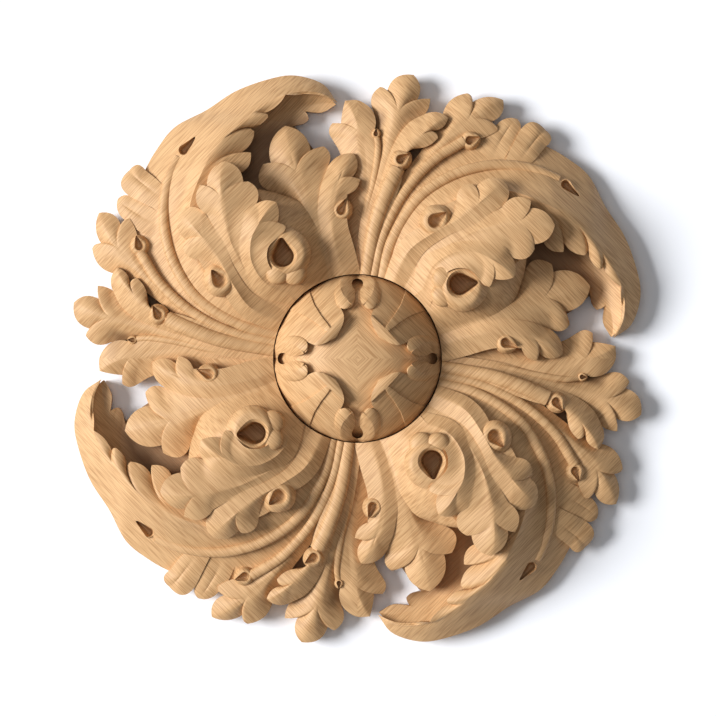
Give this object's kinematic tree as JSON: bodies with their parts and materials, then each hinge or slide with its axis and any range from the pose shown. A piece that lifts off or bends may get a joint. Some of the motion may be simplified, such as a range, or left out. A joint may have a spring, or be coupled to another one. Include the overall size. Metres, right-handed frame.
{
  "type": "carved rosette",
  "caption": "Round carved wooden rosette of swirling acanthus leaves round a petalled centre button, flat at the back, to be fixed to a panel, door or ceiling.",
  "frame": {"origin": "middle of the flat back", "axes": "+Z out of the carved face, +X and +Y along the lines where the quarters of the carving meet, so the rosette lies on its back"},
  "size_m": [0.2808, 0.2808, 0.0477],
  "materials": {
    "wood": "satin"
  },
  "bodies": {
    "root": {"leaf_ring": "wood", "centre_button": "wood"}
  },
  "joints": []
}
